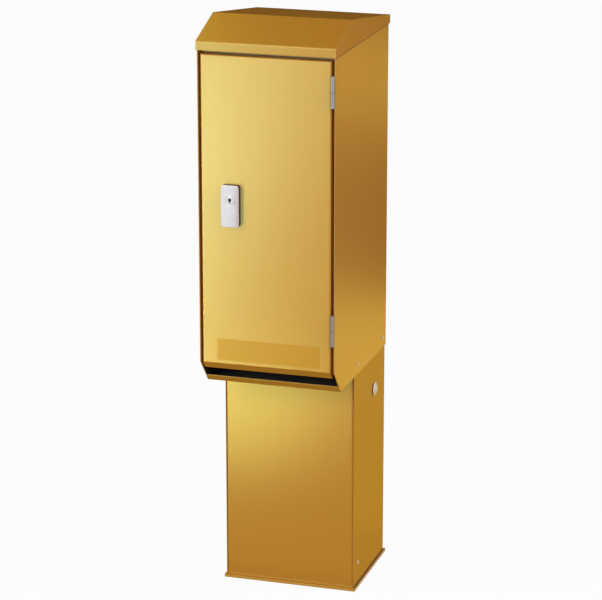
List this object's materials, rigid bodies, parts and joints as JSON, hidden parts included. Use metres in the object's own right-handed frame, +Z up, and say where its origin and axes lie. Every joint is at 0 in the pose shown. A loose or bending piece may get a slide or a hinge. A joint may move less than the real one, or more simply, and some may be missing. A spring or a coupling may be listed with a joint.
{
  "type": "feeder pillar",
  "caption": "Gold sheet-metal feeder pillar: roofed cabinet with a hinged, locking door on a narrower pedestal, sockets and breakers inside.",
  "frame": {"origin": "centre of the base plate's underside, on the ground", "axes": "+Z up, +X to the right seen from the door, -Y out of the door"},
  "size_m": [0.2824, 0.3992, 1.1879],
  "materials": {
    "gold_sheet": "satin gold with a fine brushed grain",
    "zinc_steel": "zinc plated",
    "hinge_steel": "satin",
    "bright_metal": "polished",
    "cast_alloy": "satin",
    "black_rubber": "matt",
    "brass": "satin",
    "grey_sheet": "satin grey",
    "grey_plastic": "matt grey",
    "red_plastic": "matt red",
    "blue_plastic": "matt blue",
    "clear_plastic": "clear",
    "white_plastic": "matt white",
    "dark_plastic": "matt dark grey",
    "yellow_plastic": "gloss yellow"
  },
  "bodies": {
    "pillar": {"base_plate": "gold_sheet", "pedestal_shell": "gold_sheet", "pedestal_cover": "gold_sheet", "breather_plug": "cast_alloy", "breather_seal": "black_rubber", "breather_nut": "zinc_steel", "clamp_rail": "zinc_steel", "supply_rail": "zinc_steel", "supply_terminals": "grey_plastic", "earth_bar": "brass", "cabinet_shell": "gold_sheet", "cabinet_floor": "gold_sheet", "floor_mat": "black_rubber", "body_screws": "cast_alloy", "clinch_nuts": "zinc_steel", "roof_cap": "gold_sheet", "door_frame": "gold_sheet", "door_gasket": "black_rubber", "hinge_seats": "hinge_steel", "hinge_pins": "hinge_steel", "hinge_washers": "dark_plastic", "panel_brackets": "zinc_steel", "socket_panel": "grey_sheet", "panel_screws": "zinc_steel", "left_power_socket": "grey_plastic", "right_power_socket": "grey_plastic", "left_house_socket": "grey_plastic", "right_house_socket": "grey_plastic", "window_frame": "grey_plastic", "device_rail": "zinc_steel", "rail_brackets": "zinc_steel", "residual_breaker": "white_plastic", "left_triple_breaker": "white_plastic", "right_triple_breaker": "white_plastic", "left_single_breaker": "white_plastic", "right_single_breaker": "white_plastic"},
    "door": {"door": "gold_sheet", "hinge_leaves": "hinge_steel", "handle_bush": "bright_metal", "bush_nut": "zinc_steel"},
    "handle": {"turn_handle": "dark_plastic", "handle_plate": "bright_metal", "handle_spindle": "zinc_steel", "latch_cam": "zinc_steel", "cam_bolt": "zinc_steel", "lock_barrel": "bright_metal"},
    "key": {"key_plug": "bright_metal"},
    "window": {"window_flap": "clear_plastic"},
    "left_power_lid": {"left_power_lid": "red_plastic"},
    "right_power_lid": {"right_power_lid": "red_plastic"},
    "left_house_lid": {"left_house_lid": "blue_plastic"},
    "right_house_lid": {"right_house_lid": "blue_plastic"},
    "residual_toggle": {"residual_toggle": "dark_plastic"},
    "left_triple_toggle": {"left_triple_toggle": "dark_plastic"},
    "right_triple_toggle": {"right_triple_toggle": "dark_plastic"},
    "left_single_toggle": {"left_single_toggle": "dark_plastic"},
    "right_single_toggle": {"right_single_toggle": "dark_plastic"},
    "test_button": {"test_button": "yellow_plastic"}
  },
  "joints": [
    {"name": "door_swing", "type": "hinge", "parent": "pillar", "child": "door", "pos_m": [0.1329, -0.26615, 0.8], "axis": [0, 0, 1], "range_deg": [0, 120]},
    {"name": "handle_turn", "type": "hinge", "parent": "door", "child": "handle", "pos_m": [-0.069, -0.2632, 0.847], "axis": [0, -1, 0], "range_deg": [0, 90]},
    {"name": "key_turn", "type": "hinge", "parent": "handle", "child": "key", "pos_m": [-0.069, -0.2772, 0.847], "axis": [0, -1, 0], "range_deg": [0, 90]},
    {"name": "window_lift", "type": "hinge", "parent": "pillar", "child": "window", "pos_m": [0, -0.086, 1.0945], "axis": [-1, 0, 0], "range_deg": [0, 95]},
    {"name": "left_power_lid_lift", "type": "hinge", "parent": "pillar", "child": "left_power_lid", "pos_m": [-0.0621, -0.1118, 0.928], "axis": [-1, 0, 0], "range_deg": [0, 100], "stiffness_Nm_per_rad": 0.03, "springref_deg": -28.65},
    {"name": "left_house_lid_lift", "type": "hinge", "parent": "pillar", "child": "left_house_lid", "pos_m": [-0.04455, -0.0948, 0.804], "axis": [-1, 0, 0], "range_deg": [0, 100], "stiffness_Nm_per_rad": 0.02, "springref_deg": -28.65},
    {"name": "right_power_lid_lift", "type": "hinge", "parent": "pillar", "child": "right_power_lid", "pos_m": [0.0621, -0.1118, 0.928], "axis": [-1, 0, 0], "range_deg": [0, 100], "stiffness_Nm_per_rad": 0.03, "springref_deg": -28.65},
    {"name": "right_house_lid_lift", "type": "hinge", "parent": "pillar", "child": "right_house_lid", "pos_m": [0.04455, -0.0948, 0.804], "axis": [-1, 0, 0], "range_deg": [0, 100], "stiffness_Nm_per_rad": 0.02, "springref_deg": -28.65},
    {"name": "residual_tip", "type": "hinge", "parent": "pillar", "child": "residual_toggle", "pos_m": [-0.0708, -0.068, 1.05], "axis": [1, 0, 0], "range_deg": [0, 70]},
    {"name": "left_triple_tip", "type": "hinge", "parent": "pillar", "child": "left_triple_toggle", "pos_m": [-0.00885, -0.068, 1.05], "axis": [1, 0, 0], "range_deg": [0, 70]},
    {"name": "right_triple_tip", "type": "hinge", "parent": "pillar", "child": "right_triple_toggle", "pos_m": [0.04425, -0.068, 1.05], "axis": [1, 0, 0], "range_deg": [0, 70]},
    {"name": "left_single_tip", "type": "hinge", "parent": "pillar", "child": "left_single_toggle", "pos_m": [0.07965, -0.068, 1.05], "axis": [1, 0, 0], "range_deg": [0, 70]},
    {"name": "right_single_tip", "type": "hinge", "parent": "pillar", "child": "right_single_toggle", "pos_m": [0.09735, -0.068, 1.05], "axis": [1, 0, 0], "range_deg": [0, 70]},
    {"name": "test_press", "type": "slide", "parent": "pillar", "child": "test_button", "axis": [0, 1, 0], "range_m": [0, 0.0015], "stiffness_N_per_m": 150, "springref_m": -0.002}
  ]
}
